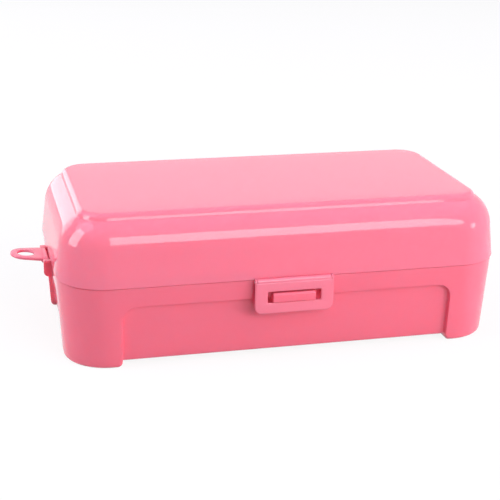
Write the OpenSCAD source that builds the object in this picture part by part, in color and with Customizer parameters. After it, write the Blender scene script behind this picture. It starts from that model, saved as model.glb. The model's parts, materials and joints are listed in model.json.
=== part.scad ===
// Bobbin box: a moulded two-shell case with a hinged lid, a front latch, a folding hang tab
// and a lift-out bobbin tray. Millimetres, +Z up, front of the box towards -Y.
// Both shells are swept round one rounded rectangle: every wall section is drawn once as
// [distance outwards from the corner centres, height] and carried round sides and corners.

/* [Box] */
// Length of the lid rim, the longest line of the case
box_length = 200; // [170:1:240]
// Depth of the lid rim from front to back
box_depth = 105.7; // [100:0.1:125]
// Radius of the lid rim's corners, seen from above
corner_radius = 22; // [20:0.5:26]
// Height of the seam between base and lid
seam_height = 37.1; // [35:0.1:45]
// Height of the lid above the seam
lid_height = 29.6; // [27:0.1:36]
// Wall thickness of both shells
wall = 2; // [1.6:0.1:2.4]

/* [Base] */
// Inward lean of the base walls, in degrees
base_lean = 3.7; // [2:0.1:5]
// Step from the lid rim in to the top of the base wall
rim_overhang = 0.5; // [0.2:0.1:1]
// Height of the panels' underside above the feet
foot_height = 2.3; // [1.5:0.1:4]
// Depth of the recessed side panels
panel_depth = 2; // [1:0.1:2.6]
// Half length of the front and back panels
panel_half_length = 74; // [60:1:76]
// Half length of the end panels
panel_half_end = 27; // [20:1:30]
// Height of the panels' top edge
panel_top = 28.4; // [24:0.1:30]
// Radius of the panels' top corners
panel_corner = 6.5; // [3:0.5:9]
// Radius along the bottom edge of the feet and of the underside
foot_edge = 2; // [1:0.1:2.2]

/* [Rim] */
// Gap between the lid rim and the ledge of the base
seam_gap = 0.2; // [0.1:0.05:0.4]
// Height of the lip that stands up inside the lid
lip_height = 2.5; // [1.5:0.1:4]
// Thickness of the lid's rim outside that lip
rim_wall = 1.2; // [1.1:0.1:1.4]
// Sideways gap between lip and lid rim
lip_gap = 0.2; // [0.15:0.05:0.4]
// Gap above the lip
lip_headroom = 0.5; // [0.2:0.1:1]

/* [Lid] */
// Inward lean of the lid's skirt, in degrees
skirt_lean = 7; // [3:0.5:9]
// Radius of the lid's shoulder
shoulder_radius = 15; // [12:0.5:17]
// Distance of the crease round the raised panel outside the corner centres
crease_reach = 12.3; // [10:0.1:14]
// Height of the raised panel above that crease
step_height = 2.7; // [2:0.1:4]
// Slope of the step up to the panel, in degrees
step_slope = 62; // [45:1:70]
// Radius along the raised panel's top edge
step_round = 3.2; // [1:0.1:4]

/* [Rear hinges] */
// Distance of each hinge from the middle of the box
hinge_offset = 55; // [40:1:65]
// Radius of the hinge knuckles
knuckle_radius = 2; // [1.8:0.1:2.4]
// Width of the lid's knuckle
knuckle_width = 14; // [10:0.5:20]
// Width of each ear on the base
ear_width = 3; // [2:0.25:5]
// Radius of the steel hinge pins
hinge_pin_radius = 1; // [0.8:0.05:1.1]
// Radial clearance of every knuckle on its pin
running_fit = 0.05; // [0.03:0.01:0.08]
// Side gap between knuckles and ears
side_gap = 0.2; // [0.1:0.05:0.4]
// Gap from a knuckle to the skirt that swings past it
swing_gap = 0.3; // [0.2:0.05:0.5]
// Gap between the stop toe and the base when the lid is fully open
toe_gap = 0.06; // [0.04:0.01:0.15]
// Height of the stop toe's face
toe_face = 0.7; // [0.4:0.1:0.9]
// Angle at which the lid stops
lid_opening = 110; // [95:1:120]

/* [Front latch] */
// Width of the latch plate
latch_width = 35; // [28:0.5:45]
// Height of the latch from its rounded top to its lower edge
latch_height = 15.7; // [14.5:0.1:17]
// Thickness of the latch plate and radius of its barrel
latch_thickness = 1.3; // [1.2:0.05:1.5]
// Distance of the latch's face in front of the lid rim
latch_reach = 2.15; // [2:0.05:2.6]
// Radius of the latch's lower corners
latch_corner = 3; // [1:0.5:4]
// Radius of the latch pin
latch_pin_radius = 0.6; // [0.5:0.05:0.7]
// Height of the latch's top above the seam
latch_rise = 0.7; // [0.4:0.1:1]
// Width of each small ear that holds the latch pin
latch_ear = 0.9; // [0.8:0.1:2]
// Side gap between the latch's barrel and those ears
latch_side_gap = 0.12; // [0.08:0.02:0.3]
// Width of the catch on the base
catch_width = 19; // [14:0.5:22]
// Height of the catch
catch_height = 4; // [3:0.1:4.2]
// Distance from the seam down to the catch's underside
catch_drop = 9.9; // [9.6:0.1:10.5]
// How far the catch stands out of the latch's face
catch_proud = 0.6; // [0:0.1:0.7]
// Side gap between the catch and the latch's slot
catch_side_gap = 2.4; // [1:0.1:4]
// Gap under the catch
catch_bottom_gap = 0.3; // [0.25:0.05:0.5]
// Gap over the catch
catch_top_gap = 0.8; // [0.5:0.1:1.4]
// Lead-in chamfer on the catch
catch_chamfer = 0.8; // [0.3:0.1:1.2]

/* [Hang tab] */
// Radius of the tab's ring
ring_radius = 6.9; // [5.5:0.1:9]
// Radius of the hole in the ring
ring_hole_radius = 3.7; // [2.5:0.1:4.5]
// Distance of the hole from the tab's hinge axis
ring_distance = 8.7; // [8:0.1:14]
// Thickness of the tab
tab_thickness = 1.2; // [1:0.1:1.25]
// Half width of the tab at its hinge
tab_half_width = 7.8; // [7:0.1:10]
// Length of the tab's straight neck from its hinge axis
neck_length = 3.4; // [2:0.1:5]
// Radius of the tab's barrel
tab_barrel_radius = 1.25; // [1.25:0.05:1.4]
// Radius of the tab's pin
tab_pin_radius = 0.65; // [0.5:0.05:0.7]
// Distance of the tab's hinge axis outside the lid rim
tab_axis_out = 1.2; // [1.1:0.05:1.6]
// Thickness of the two cheeks that carry the tab
cheek_width = 1.75; // [1.2:0.05:2.5]
// Height of the cheeks
cheek_height = 7.9; // [6:0.1:9]
// Radius of the cheeks' lower outer corner
cheek_corner = 2.2; // [1:0.1:3]
// Thickness of cheek left over each end of the tab's pin
tab_pin_cover = 0.5; // [0.4:0.05:0.7]
// Distance of the cheeks' tops and the tab's top under the seam
tab_drop = 0.25; // [0.2:0.05:0.6]
// Angle at which the tab stands up from level, in degrees
tab_tilt = 5; // [0:1:10]
// Thickness of the flange along the top of each cheek
flange_thickness = 0.9; // [0.6:0.1:1.2]
// Distance that the flange stands out beside its cheek
flange_reach = 1.4; // [0.8:0.1:2]

/* [Bobbin tray] */
// Diameter of the bobbins that the tray is made for
bobbin_diameter = 20.3; // [19:0.1:20.8]
// Width of those bobbins
bobbin_width = 11.7; // [9:0.1:14]
// Radial room round a bobbin in its cradle
bobbin_room = 0.45; // [0.2:0.05:0.6]
// Room beside each bobbin, along its row
bobbin_side_room = 0.3; // [0.1:0.1:1]
// Wall of the tray
tray_wall = 1.4; // [1.2:0.1:1.8]
// Wall of the half-round cradles
cradle_wall = 1.3; // [1:0.1:1.5]
// Gap between two cradles at the deck
cradle_gap = 1.6; // [1:0.1:2.2]
// Thickness of the ribs between the bobbins
rib_width = 1.2; // [0.8:0.1:2]
// Height of those ribs above the cradle's bottom
rib_height = 3; // [1.5:0.1:5]
// Gap between the tray and the base's wall
tray_gap = 0.4; // [0.3:0.05:0.8]
// Depth of the tray's rim below its deck
tray_rim = 6.4; // [6:0.1:9]
// Gap between the tray's rim and the shelf that it stands on
tray_seat = 0.05; // [0.05:0.05:0.3]
// Height of the two lifting tabs above the deck
lift_tab_height = 8; // [5:0.5:9]
// Half width of the lifting tabs
lift_tab_half = 11; // [8:0.5:14]
// Thickness of the lifting tabs
lift_tab_wall = 1.6; // [1.2:0.1:2.4]
// Distance of the lifting tabs from the ends of the tray
lift_tab_inset = 6.2; // [5:0.1:9]
// Radius of the lifting tabs' top corners
lift_tab_corner = 5; // [2:0.5:5]

/* [Hidden] */

$fn = 48;
// Overshoot of a cut past the face that it opens
over = 1;
shell_pink = "#f7809a";
trim_pink = "#fb9db4";
tray_white = "#f4eef0";
steel = "#c9cdd2";

// Centres of the rounded corners
core_x = box_length / 2 - corner_radius;
core_y = box_depth / 2 - corner_radius;

// Base wall
base_top = seam_height - seam_gap;
base_reach = corner_radius - rim_overhang;
function base_wall_reach(z) = base_reach - (base_top - z) * tan(base_lean);
shelf_height = panel_top + wall;
underside_edge = 1.2;

// Rim
lip_outer = corner_radius - rim_wall - lip_gap;
rebate_top = base_top + lip_height + lip_headroom;

// Lid
lid_top = seam_height + lid_height;
crease = [crease_reach, lid_top - step_height];
panel_reach = crease_reach - step_height / tan(step_slope);
skirt_foot = [corner_radius, seam_height];
function skirt_reach(z) = corner_radius - (z - seam_height) * tan(skirt_lean);
shoulder_segments = 14;
edge_segments = 5;

// Rear hinge axis
hinge_y = box_depth / 2 + knuckle_radius + swing_gap;
hinge_z = base_top + 0.1;
hinge_span = knuckle_width / 2 + side_gap + ear_width;
toe_reach = hinge_y - core_y - base_reach - toe_gap;
toe_rise = 0.4;
gusset = knuckle_radius * cos(45);
gusset_drop = 5;

// Latch axis and slot
latch_face = -box_depth / 2 - latch_reach;
latch_axis_y = latch_face + latch_thickness;
latch_top = seam_height + latch_rise;
latch_axis_z = latch_top - latch_thickness;
latch_bottom = latch_top - latch_height;
barrel_half = latch_width / 2 - latch_ear - latch_side_gap;
barrel_room = 0.12;
catch_bottom = seam_height - catch_drop;
catch_face = latch_face - catch_proud;
slot_half = catch_width / 2 + catch_side_gap;
slot_bottom = catch_bottom - catch_bottom_gap;
slot_top = catch_bottom + catch_height + catch_top_gap;

// Hang tab axis and outline
tab_axis_x = -box_length / 2 - tab_axis_out;
tab_top = seam_height - tab_drop;
tab_axis_z = tab_top - tab_barrel_radius;
tab_pin_half = tab_half_width + side_gap + cheek_width - tab_pin_cover;
cheek_margin = 0.35;
cheek_reach = tab_barrel_radius + cheek_margin;

// Bobbin tray
tray_reach = base_wall_reach(shelf_height) - wall / cos(base_lean) - tray_gap;
tray_bottom = shelf_height + tray_seat;
deck_top = tray_bottom + tray_rim;
cradle_radius = bobbin_diameter / 2 + bobbin_room;
row_pitch = 2 * cradle_radius + cradle_gap;
cell_length = bobbin_width + bobbin_side_room;
cell_pitch = cell_length + rib_width;
lift_tab_x = core_x + tray_reach - lift_tab_inset;
function cells(half) = floor((2 * half + rib_width) / cell_pitch);
inner_cells = cells(lift_tab_x - lift_tab_wall / 2 - 2 * cradle_wall);
outer_cells = cells(core_x + 2 * cradle_wall);

// Whole box, for the origin below the middle of its bounds
tab_tip = tab_axis_x - (ring_distance + ring_radius) * cos(tab_tilt)
    + (tab_barrel_radius - tab_thickness) * sin(tab_tilt);
bounds_low = [tab_tip, catch_face];
bounds_high = [box_length / 2, hinge_y + knuckle_radius];

function unit(a) = [cos(a), sin(a)];
function arc(c, r, a0, a1, n) = [for (i = [0:n]) c + r * unit(a0 + (a1 - a0) * i / n)];
// Round of radius r on the corner p between faces whose outward normals point at a0 and a1
function corner_arc(p, r, a0, a1, n) =
    arc(p - unit((a0 + a1) / 2) * r / cos((a1 - a0) / 2), r, a0, a1, n);

// Solid section of the base, moved in by inset, from a floor up to a top
function base_section(inset, floor_z, top_z, edge) = concat(
    [[0, floor_z]],
    corner_arc([base_wall_reach(floor_z) - inset / cos(base_lean), floor_z], edge,
        -90, -base_lean, edge_segments),
    [[base_wall_reach(top_z) - inset / cos(base_lean), top_z], [0, top_z]]
);

// Centre of the shoulder: its arc touches the skirt and ends at the crease
shoulder_start = skirt_foot - shoulder_radius * unit(skirt_lean);
shoulder_chord = crease - shoulder_start;
skirt_rise = shoulder_chord * unit(skirt_lean + 90);
shoulder_travel = skirt_rise
    - sqrt(pow(skirt_rise, 2) - shoulder_chord * shoulder_chord + pow(shoulder_radius, 2));
shoulder_centre = shoulder_start + shoulder_travel * unit(skirt_lean + 90);
crease_angle = atan2(crease[1] - shoulder_centre[1], crease[0] - shoulder_centre[0]);
step_angle = 90 - step_slope;
// Point where the offsets of shoulder and step meet, under the crease
function crease_mitre(inset) = crease
    - unit((crease_angle + step_angle) / 2) * inset / cos((crease_angle - step_angle) / 2);

// Solid outer section of the lid
function lid_section_outer() = concat(
    [[0, seam_height], skirt_foot],
    arc(shoulder_centre, shoulder_radius, skirt_lean, crease_angle, shoulder_segments),
    corner_arc([panel_reach, lid_top], step_round, step_angle, 90, edge_segments),
    [[0, lid_top]]
);

// Section of the room inside the lid
function lid_section_inner() = concat(
    [[0, seam_height - over],
        [skirt_reach(seam_height - over) - wall / cos(skirt_lean), seam_height - over]],
    arc(shoulder_centre, shoulder_radius - wall, skirt_lean, crease_angle, shoulder_segments),
    [crease_mitre(wall)],
    [[panel_reach - wall * tan(step_slope / 2), lid_top - wall], [0, lid_top - wall]]
);

// Carries a section round the four corners and along the four sides, and fills the middle
module round_box(section) {
    for (i = [0:3]) {
        side = i % 2 == 0 ? [core_x, core_y] : [core_y, core_x];
        rotate([0, 0, 90 * i]) {
            translate([side[0], side[1], 0]) rotate_extrude(angle = 90) polygon(section);
            translate([side[0], 0, 0])
                rotate([90, 0, 0]) linear_extrude(height = 2 * side[1], center = true)
                    polygon(section);
        }
    }
    low = section[0][1];
    high = section[len(section) - 1][1];
    translate([-core_x, -core_y, low]) cube([2 * core_x, 2 * core_y, high - low]);
}

// Outline of a side panel, open at the bottom, with rounded top corners and flared feet
module panel_outline(half, grow) {
    r = panel_corner + grow;
    w = half + grow;
    h = panel_top + grow;
    translate([-w, -over]) square([2 * w, h - r + over]);
    translate([-w + r, -over]) square([2 * (w - r), h + over]);
    for (s = [-1, 1]) translate([s * (w - r), h - r]) circle(r);
    if (grow == 0) {
        for (s = [-1, 1]) {
            difference() {
                translate([s * (w + foot_edge / 2), (foot_edge - over) / 2])
                    square([foot_edge, foot_edge + over], center = true);
                translate([s * (w + foot_edge), foot_edge]) circle(foot_edge);
            }
        }
    }
}

// The two passages that part the corner posts from each other
module panel_passages(grow) {
    rotate([90, 0, 0]) linear_extrude(height = 2 * box_depth, center = true)
        panel_outline(panel_half_length, grow);
    rotate([90, 0, 90]) linear_extrude(height = 2 * box_length, center = true)
        panel_outline(panel_half_end, grow);
}

module base_room() {
    room_top = base_top + lip_height + over;
    difference() {
        round_box(base_section(wall, wall, room_top, foot_edge));
        panel_passages(wall);
    }
    round_box(base_section(panel_depth + wall, foot_height + wall, room_top, underside_edge));
}

module base_hull_form() {
    difference() {
        round_box(base_section(0, 0, base_top, foot_edge));
        panel_passages(0);
    }
    round_box(base_section(panel_depth, foot_height, base_top, underside_edge));
    lip = [[0, base_top - over], [lip_outer, base_top - over],
        [lip_outer, base_top + lip_height], [0, base_top + lip_height]];
    round_box(lip);
}

// Rib section of a base ear: the knuckle and the 45 degree gusset that carries it
module base_ear_section() {
    root = core_y + base_reach - wall / 2;
    translate([hinge_y, hinge_z]) circle(knuckle_radius);
    polygon([
        [root, base_top],
        [hinge_y, base_top],
        [hinge_y + gusset, hinge_z - gusset],
        [hinge_y + gusset - gusset_drop, hinge_z - gusset - gusset_drop],
        [root, hinge_z - gusset - gusset_drop]
    ]);
}

// Section of a lid knuckle: its web up the skirt, and the toe that stops the lid
module lid_knuckle_section() {
    root = core_y + corner_radius - rim_wall / 2;
    translate([hinge_y, hinge_z]) circle(knuckle_radius);
    polygon([
        [root, seam_height],
        [hinge_y, seam_height],
        [hinge_y + gusset, hinge_z + gusset],
        [root, hinge_z + 2 * gusset + hinge_y - root]
    ]);
    translate([hinge_y, hinge_z]) rotate(lid_opening) polygon([
        [-gusset / 2, 0],
        [-toe_reach, -toe_rise],
        [-toe_reach, -toe_rise - toe_face],
        [-gusset, -gusset]
    ]);
}

// Turns a section drawn in the Y-Z plane into a bar of a given length along X
module bar_along_x(x, length) {
    translate([x, 0, 0]) rotate([90, 0, 90]) linear_extrude(height = length, center = true)
        children();
}

module pin_along_x(x, y, z, radius, length) {
    translate([x, y, z]) rotate([0, 90, 0]) cylinder(r = radius, h = length, center = true);
}

module catch_tongue() {
    top = catch_bottom + catch_height;
    bar_along_x(0, catch_width) polygon([
        [catch_face, catch_bottom],
        [-core_y, catch_bottom],
        [-core_y, top],
        [catch_face + catch_chamfer, top],
        [catch_face, top - catch_chamfer]
    ]);
}

// Cheek beside the hang tab, with a flange along its top
module tab_cheek() {
    low = tab_top - cheek_height;
    out = tab_axis_x - cheek_reach;
    inner = -box_length / 2 + rim_overhang + wall / 2;
    rotate([90, 0, 0]) linear_extrude(height = cheek_width, center = true) polygon(concat(
        [[inner, tab_top], [out, tab_top]],
        corner_arc([out, low], cheek_corner, 180, 270, edge_segments),
        [[inner, low]]
    ));
    translate([out, 0, tab_top - flange_thickness])
        cube([inner - out, cheek_width / 2 + flange_reach, flange_thickness]);
}

module base_shell() {
    color(shell_pink) difference() {
        union() {
            difference() {
                union() {
                    base_hull_form();
                    catch_tongue();
                }
                base_room();
            }
            for (x = [-hinge_offset, hinge_offset], s = [-1, 1])
                bar_along_x(x + s * (knuckle_width + ear_width + 2 * side_gap) / 2, ear_width)
                    base_ear_section();
            for (s = [0, 1]) mirror([0, s, 0])
                translate([0, tab_half_width + side_gap + cheek_width / 2, 0]) tab_cheek();
        }
        for (x = [-hinge_offset, hinge_offset])
            pin_along_x(x, hinge_y, hinge_z, hinge_pin_radius, 2 * (hinge_span + over));
        pin_along_x(0, latch_axis_y, latch_axis_z, latch_thickness + barrel_room,
            latch_width + 2 * side_gap);
        translate([tab_axis_x, 0, tab_axis_z]) rotate([90, 0, 0])
            cylinder(r = tab_pin_radius, h = 2 * tab_pin_half, center = true);
    }
}

// Small ears below the lid's rim that hold the latch pin
module latch_ears() {
    root = latch_reach - latch_thickness + rim_wall / 2;
    for (s = [-1, 1])
        bar_along_x(s * (latch_width - latch_ear) / 2, latch_ear) {
            translate([latch_axis_y, latch_axis_z]) circle(latch_thickness);
            translate([latch_axis_y, seam_height]) square([root, latch_rise]);
        }
}

module lid_shell() {
    rebate = [[0, seam_height - over], [corner_radius - rim_wall, seam_height - over],
        [corner_radius - rim_wall, rebate_top], [0, rebate_top]];
    color(shell_pink) difference() {
        union() {
            difference() {
                round_box(lid_section_outer());
                round_box(lid_section_inner());
                round_box(rebate);
                pin_along_x(0, latch_axis_y, latch_axis_z, latch_thickness + barrel_room,
                    latch_width - 2 * latch_ear);
            }
            for (x = [-hinge_offset, hinge_offset])
                bar_along_x(x, knuckle_width) lid_knuckle_section();
            latch_ears();
        }
        for (x = [-hinge_offset, hinge_offset])
            pin_along_x(x, hinge_y, hinge_z, hinge_pin_radius + running_fit,
                knuckle_width + 2 * over);
        pin_along_x(0, latch_axis_y, latch_axis_z, latch_pin_radius,
            latch_width + 2 * over);
    }
}

module latch_plate_outline() {
    half = latch_width / 2;
    difference() {
        union() {
            translate([-half, latch_bottom + latch_corner])
                square([2 * half, latch_axis_z - latch_bottom - latch_corner]);
            translate([-half + latch_corner, latch_bottom])
                square([2 * (half - latch_corner), latch_corner + over]);
            for (s = [-1, 1])
                translate([s * (half - latch_corner), latch_bottom + latch_corner])
                    circle(latch_corner);
        }
        translate([-slot_half, slot_bottom]) square([2 * slot_half, slot_top - slot_bottom]);
    }
}

module front_latch() {
    color(trim_pink) difference() {
        union() {
            difference() {
                translate([0, latch_axis_y, 0]) rotate([90, 0, 0])
                    linear_extrude(height = latch_thickness) latch_plate_outline();
                for (s = [-1, 1])
                    pin_along_x(s * (latch_width / 2 + over), latch_axis_y, latch_axis_z,
                        latch_thickness + barrel_room,
                        2 * (latch_ear + latch_side_gap + over));
            }
            pin_along_x(0, latch_axis_y, latch_axis_z, latch_thickness, 2 * barrel_half);
        }
        pin_along_x(0, latch_axis_y, latch_axis_z, latch_pin_radius + running_fit,
            latch_width + 2 * over);
    }
}

module latch_pin() {
    color(steel) pin_along_x(0, latch_axis_y, latch_axis_z, latch_pin_radius, latch_width);
}

module hinge_pin(x) {
    color(steel) pin_along_x(x, hinge_y, hinge_z, hinge_pin_radius, 2 * hinge_span);
}

// Outline of the tab, drawn from its hinge axis
module tab_outline() {
    translate([-neck_length, -tab_half_width]) square([neck_length, 2 * tab_half_width]);
    polygon([
        [-neck_length, -tab_half_width],
        [-ring_distance, -ring_radius],
        [-ring_distance, ring_radius],
        [-neck_length, tab_half_width]
    ]);
    translate([-ring_distance, 0]) circle(ring_radius);
}

module hang_tab() {
    color(trim_pink) translate([tab_axis_x, 0, tab_axis_z]) rotate([0, tab_tilt, 0])
        difference() {
            union() {
                translate([0, 0, tab_barrel_radius - tab_thickness])
                    linear_extrude(height = tab_thickness) tab_outline();
                rotate([90, 0, 0])
                    cylinder(r = tab_barrel_radius, h = 2 * tab_half_width, center = true);
            }
            translate([-ring_distance, 0, tab_barrel_radius - tab_thickness - over])
                cylinder(r = ring_hole_radius, h = tab_thickness + 2 * over);
            rotate([90, 0, 0]) cylinder(r = tab_pin_radius + running_fit,
                h = 2 * (tab_half_width + over), center = true);
        }
}

module hang_tab_pin() {
    color(steel) translate([tab_axis_x, 0, tab_axis_z]) rotate([90, 0, 0])
        cylinder(r = tab_pin_radius, h = 2 * tab_pin_half, center = true);
}

function row_cells(i) = abs(i) == 1.5 ? outer_cells : inner_cells;
function row_length(i) = row_cells(i) * cell_pitch - rib_width;

// One half-round cradle, solid, that hangs under the deck
module cradle(i) {
    intersection() {
        pin_along_x(0, i * row_pitch, deck_top, cradle_radius + cradle_wall,
            row_length(i) + 2 * cradle_wall);
        translate([-core_x * 2, -box_depth, deck_top - 2 * cradle_radius])
            cube([core_x * 4, 2 * box_depth, 2 * cradle_radius]);
    }
}

// The room for one row of bobbins, with the ribs between them left standing
module cradle_room(i) {
    pin_along_x(0, i * row_pitch, deck_top, cradle_radius - rib_height, row_length(i));
    for (k = [0:row_cells(i) - 1])
        pin_along_x(-row_length(i) / 2 + cell_length / 2 + k * cell_pitch, i * row_pitch,
            deck_top, cradle_radius, cell_length);
}

module lift_tab() {
    h = lift_tab_height + tray_wall;
    rotate([90, 0, 90]) linear_extrude(height = lift_tab_wall, center = true)
        translate([0, deck_top - tray_wall]) {
            translate([-lift_tab_half, 0]) square([2 * lift_tab_half, h - lift_tab_corner]);
            translate([-lift_tab_half + lift_tab_corner, 0])
                square([2 * (lift_tab_half - lift_tab_corner), h]);
            for (s = [-1, 1])
                translate([s * (lift_tab_half - lift_tab_corner), h - lift_tab_corner])
                    circle(lift_tab_corner);
        }
}

module bobbin_tray() {
    block = [[0, tray_bottom], [tray_reach, tray_bottom], [tray_reach, deck_top], [0, deck_top]];
    hollow = [[0, tray_bottom - over], [tray_reach - tray_wall, tray_bottom - over],
        [tray_reach - tray_wall, deck_top - tray_wall], [0, deck_top - tray_wall]];
    color(tray_white) difference() {
        union() {
            difference() {
                round_box(block);
                round_box(hollow);
            }
            for (i = [-1.5:1:1.5]) cradle(i);
            for (s = [-1, 1]) translate([s * lift_tab_x, 0, 0]) lift_tab();
        }
        for (i = [-1.5:1:1.5]) cradle_room(i);
    }
}

// Puts the origin on the table below the middle of the closed box's bounds
module placed() {
    middle = (bounds_low + bounds_high) / 2;
    translate([-middle[0], -middle[1], 0]) children();
}

placed() base_shell();
placed() lid_shell();
placed() front_latch();
placed() latch_pin();
placed() hinge_pin(-hinge_offset);  // hinge_pin_left
placed() hinge_pin(hinge_offset);  // hinge_pin_right
placed() hang_tab();
placed() hang_tab_pin();
placed() bobbin_tray();
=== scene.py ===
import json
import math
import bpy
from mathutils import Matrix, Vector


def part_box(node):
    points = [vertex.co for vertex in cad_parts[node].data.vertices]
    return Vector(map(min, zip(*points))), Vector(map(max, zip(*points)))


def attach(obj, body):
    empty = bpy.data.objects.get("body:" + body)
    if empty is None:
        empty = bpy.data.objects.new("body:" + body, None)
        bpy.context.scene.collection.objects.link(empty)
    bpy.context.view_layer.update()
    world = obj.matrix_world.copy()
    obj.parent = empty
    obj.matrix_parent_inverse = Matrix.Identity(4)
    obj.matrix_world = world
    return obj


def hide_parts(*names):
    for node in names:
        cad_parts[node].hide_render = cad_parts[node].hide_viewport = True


bl_info = {
    "name": "Bobbin Box",
    "version": (1, 0, 0),
    "blender": (4, 5, 0),
    "location": "View3D > Sidebar > Bobbin Box",
    "description": "Dresses the packed bobbin box: shells, latch, hang tab, tray and stage",
    "category": "Add Mesh",
}

import bmesh
import bpy
from bpy.props import FloatProperty, FloatVectorProperty, PointerProperty, StringProperty
from mathutils import Matrix, Vector

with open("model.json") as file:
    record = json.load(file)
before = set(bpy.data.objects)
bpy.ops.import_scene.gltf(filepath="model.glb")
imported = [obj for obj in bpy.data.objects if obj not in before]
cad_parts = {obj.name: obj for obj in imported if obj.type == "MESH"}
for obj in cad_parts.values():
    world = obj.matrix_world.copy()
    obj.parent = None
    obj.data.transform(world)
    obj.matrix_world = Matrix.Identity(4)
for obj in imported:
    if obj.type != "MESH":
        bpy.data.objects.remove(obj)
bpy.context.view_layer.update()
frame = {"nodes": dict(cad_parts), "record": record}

MM = 0.001
CLOSE = 1e-7  # Points nearer than this, in metres, are one point
SHARP = math.radians(40)  # Edges that fold more than this are shaded sharp
ROUND_STEPS = 40  # Points round a full circle
ALONG_X, ALONG_Y = (1, 2, 0), (0, 2, 1)  # A prism's two flat axes, then its long one
JOINTS = {joint["name"]: joint for joint in frame["record"]["behaviour"]["joints"]}
LID_AXIS = Vector(JOINTS["lid_hinge"]["pos_m"])
LATCH_AXIS = Vector(JOINTS["latch_hinge"]["pos_m"])
TAB_AXIS = Vector(JOINTS["hang_tab_hinge"]["pos_m"])

# The tray is symmetrical, so its middle is the middle of both shells
TRAY_LOW, TRAY_HIGH = (Vector(corner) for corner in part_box("bobbin_tray"))
MIDDLE = Vector(((TRAY_LOW.x + TRAY_HIGH.x) / 2, (TRAY_LOW.y + TRAY_HIGH.y) / 2, 0.0))
BASE_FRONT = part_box("base_shell")[0][1]
LID_LOW, LID_HIGH = (Vector(corner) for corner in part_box("lid_shell"))
LATCH_LOW, LATCH_HIGH = (Vector(corner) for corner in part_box("front_latch"))


# ---------------- properties


def length(name, description, millimetres):
    """A size in the scene's metres, with its default given in millimetres."""
    return FloatProperty(
        name=name, description=description, default=millimetres * MM, min=0.0,
        unit="LENGTH", precision=5,
    )


def angle(name, description, degrees):
    """An angle, with its default given in degrees."""
    return FloatProperty(
        name=name, description=description, unit="ROTATION", default=math.radians(degrees),
    )


def hexcode(name, description, default):
    """A colour as an sRGB hex value."""
    return StringProperty(name=name, description=description, default=default)


class BobbinBoxShellSizes(bpy.types.PropertyGroup):
    """Sizes that both shells share"""

    box_length: length("Length", "Length of the lid rim", (LID_HIGH.x - LID_LOW.x) / MM)
    box_depth: length("Depth", "Depth of the lid rim from front to back", 105.7)
    corner_radius: length("Corner", "Radius of the lid rim's corners, seen from above", 22)
    seam_height: length("Seam", "Height of the seam between base and lid", 37.1)
    wall: length("Wall", "Wall thickness of both shells", 2)
    lip_height: length("Lip height", "Height of the lip inside the seam", 2.5)
    rim_wall: length("Rim wall", "Thickness of the lid's rim outside the lip", 1.2)
    lip_gap: length("Lip gap", "Sideways gap between lip and lid rim", 0.2)
    lip_headroom: length("Lip headroom", "Gap above the lip", 0.5)
    edge: length("Edge", "Radius along the moulded edges", 0.35)


class BobbinBoxBaseSizes(bpy.types.PropertyGroup):
    """Sizes of the base shell"""

    lean: angle("Lean", "Inward lean of the walls", 3.7)
    seam_gap: length("Seam gap", "Gap between the lid rim and the ledge", 0.2)
    rim_overhang: length("Overhang", "Step from the lid rim in to the base wall", 0.5)
    foot_height: length("Feet", "Height of the panels' underside above the feet", 2.3)
    panel_depth: length("Panel depth", "Depth of the recessed panels", 2)
    panel_half_length: length("Front panel", "Half length of the front and back panels", 74)
    panel_half_end: length("End panel", "Half length of the end panels", 27)
    panel_top: length("Panel top", "Height of the panels' top edge", 28.4)
    panel_corner: length("Panel corner", "Radius of the panels' top corners", 6.5)
    panel_step: length("Panel step", "Width of the rounded step into a panel", 0.5)
    foot_edge: length("Foot edge", "Radius along the bottom edge of the feet", 2)


class BobbinBoxLidSizes(bpy.types.PropertyGroup):
    """Sizes of the lid shell"""

    lean: angle("Lean", "Inward lean of the skirt", 7)
    shoulder_radius: length("Shoulder", "Radius of the shoulder", 15)
    crease_reach: length("Crease", "Distance of the crease outside the corner centres", 12.3)
    crease_radius: length("Crease radius", "Radius in the crease round the panel", 0.8)
    step_height: length("Step", "Height of the raised panel above the crease", 2.7)
    step_slope: angle("Step slope", "Slope of the step up to the panel", 62)
    step_round: length("Step radius", "Radius along the raised panel's top edge", 3.2)


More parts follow.
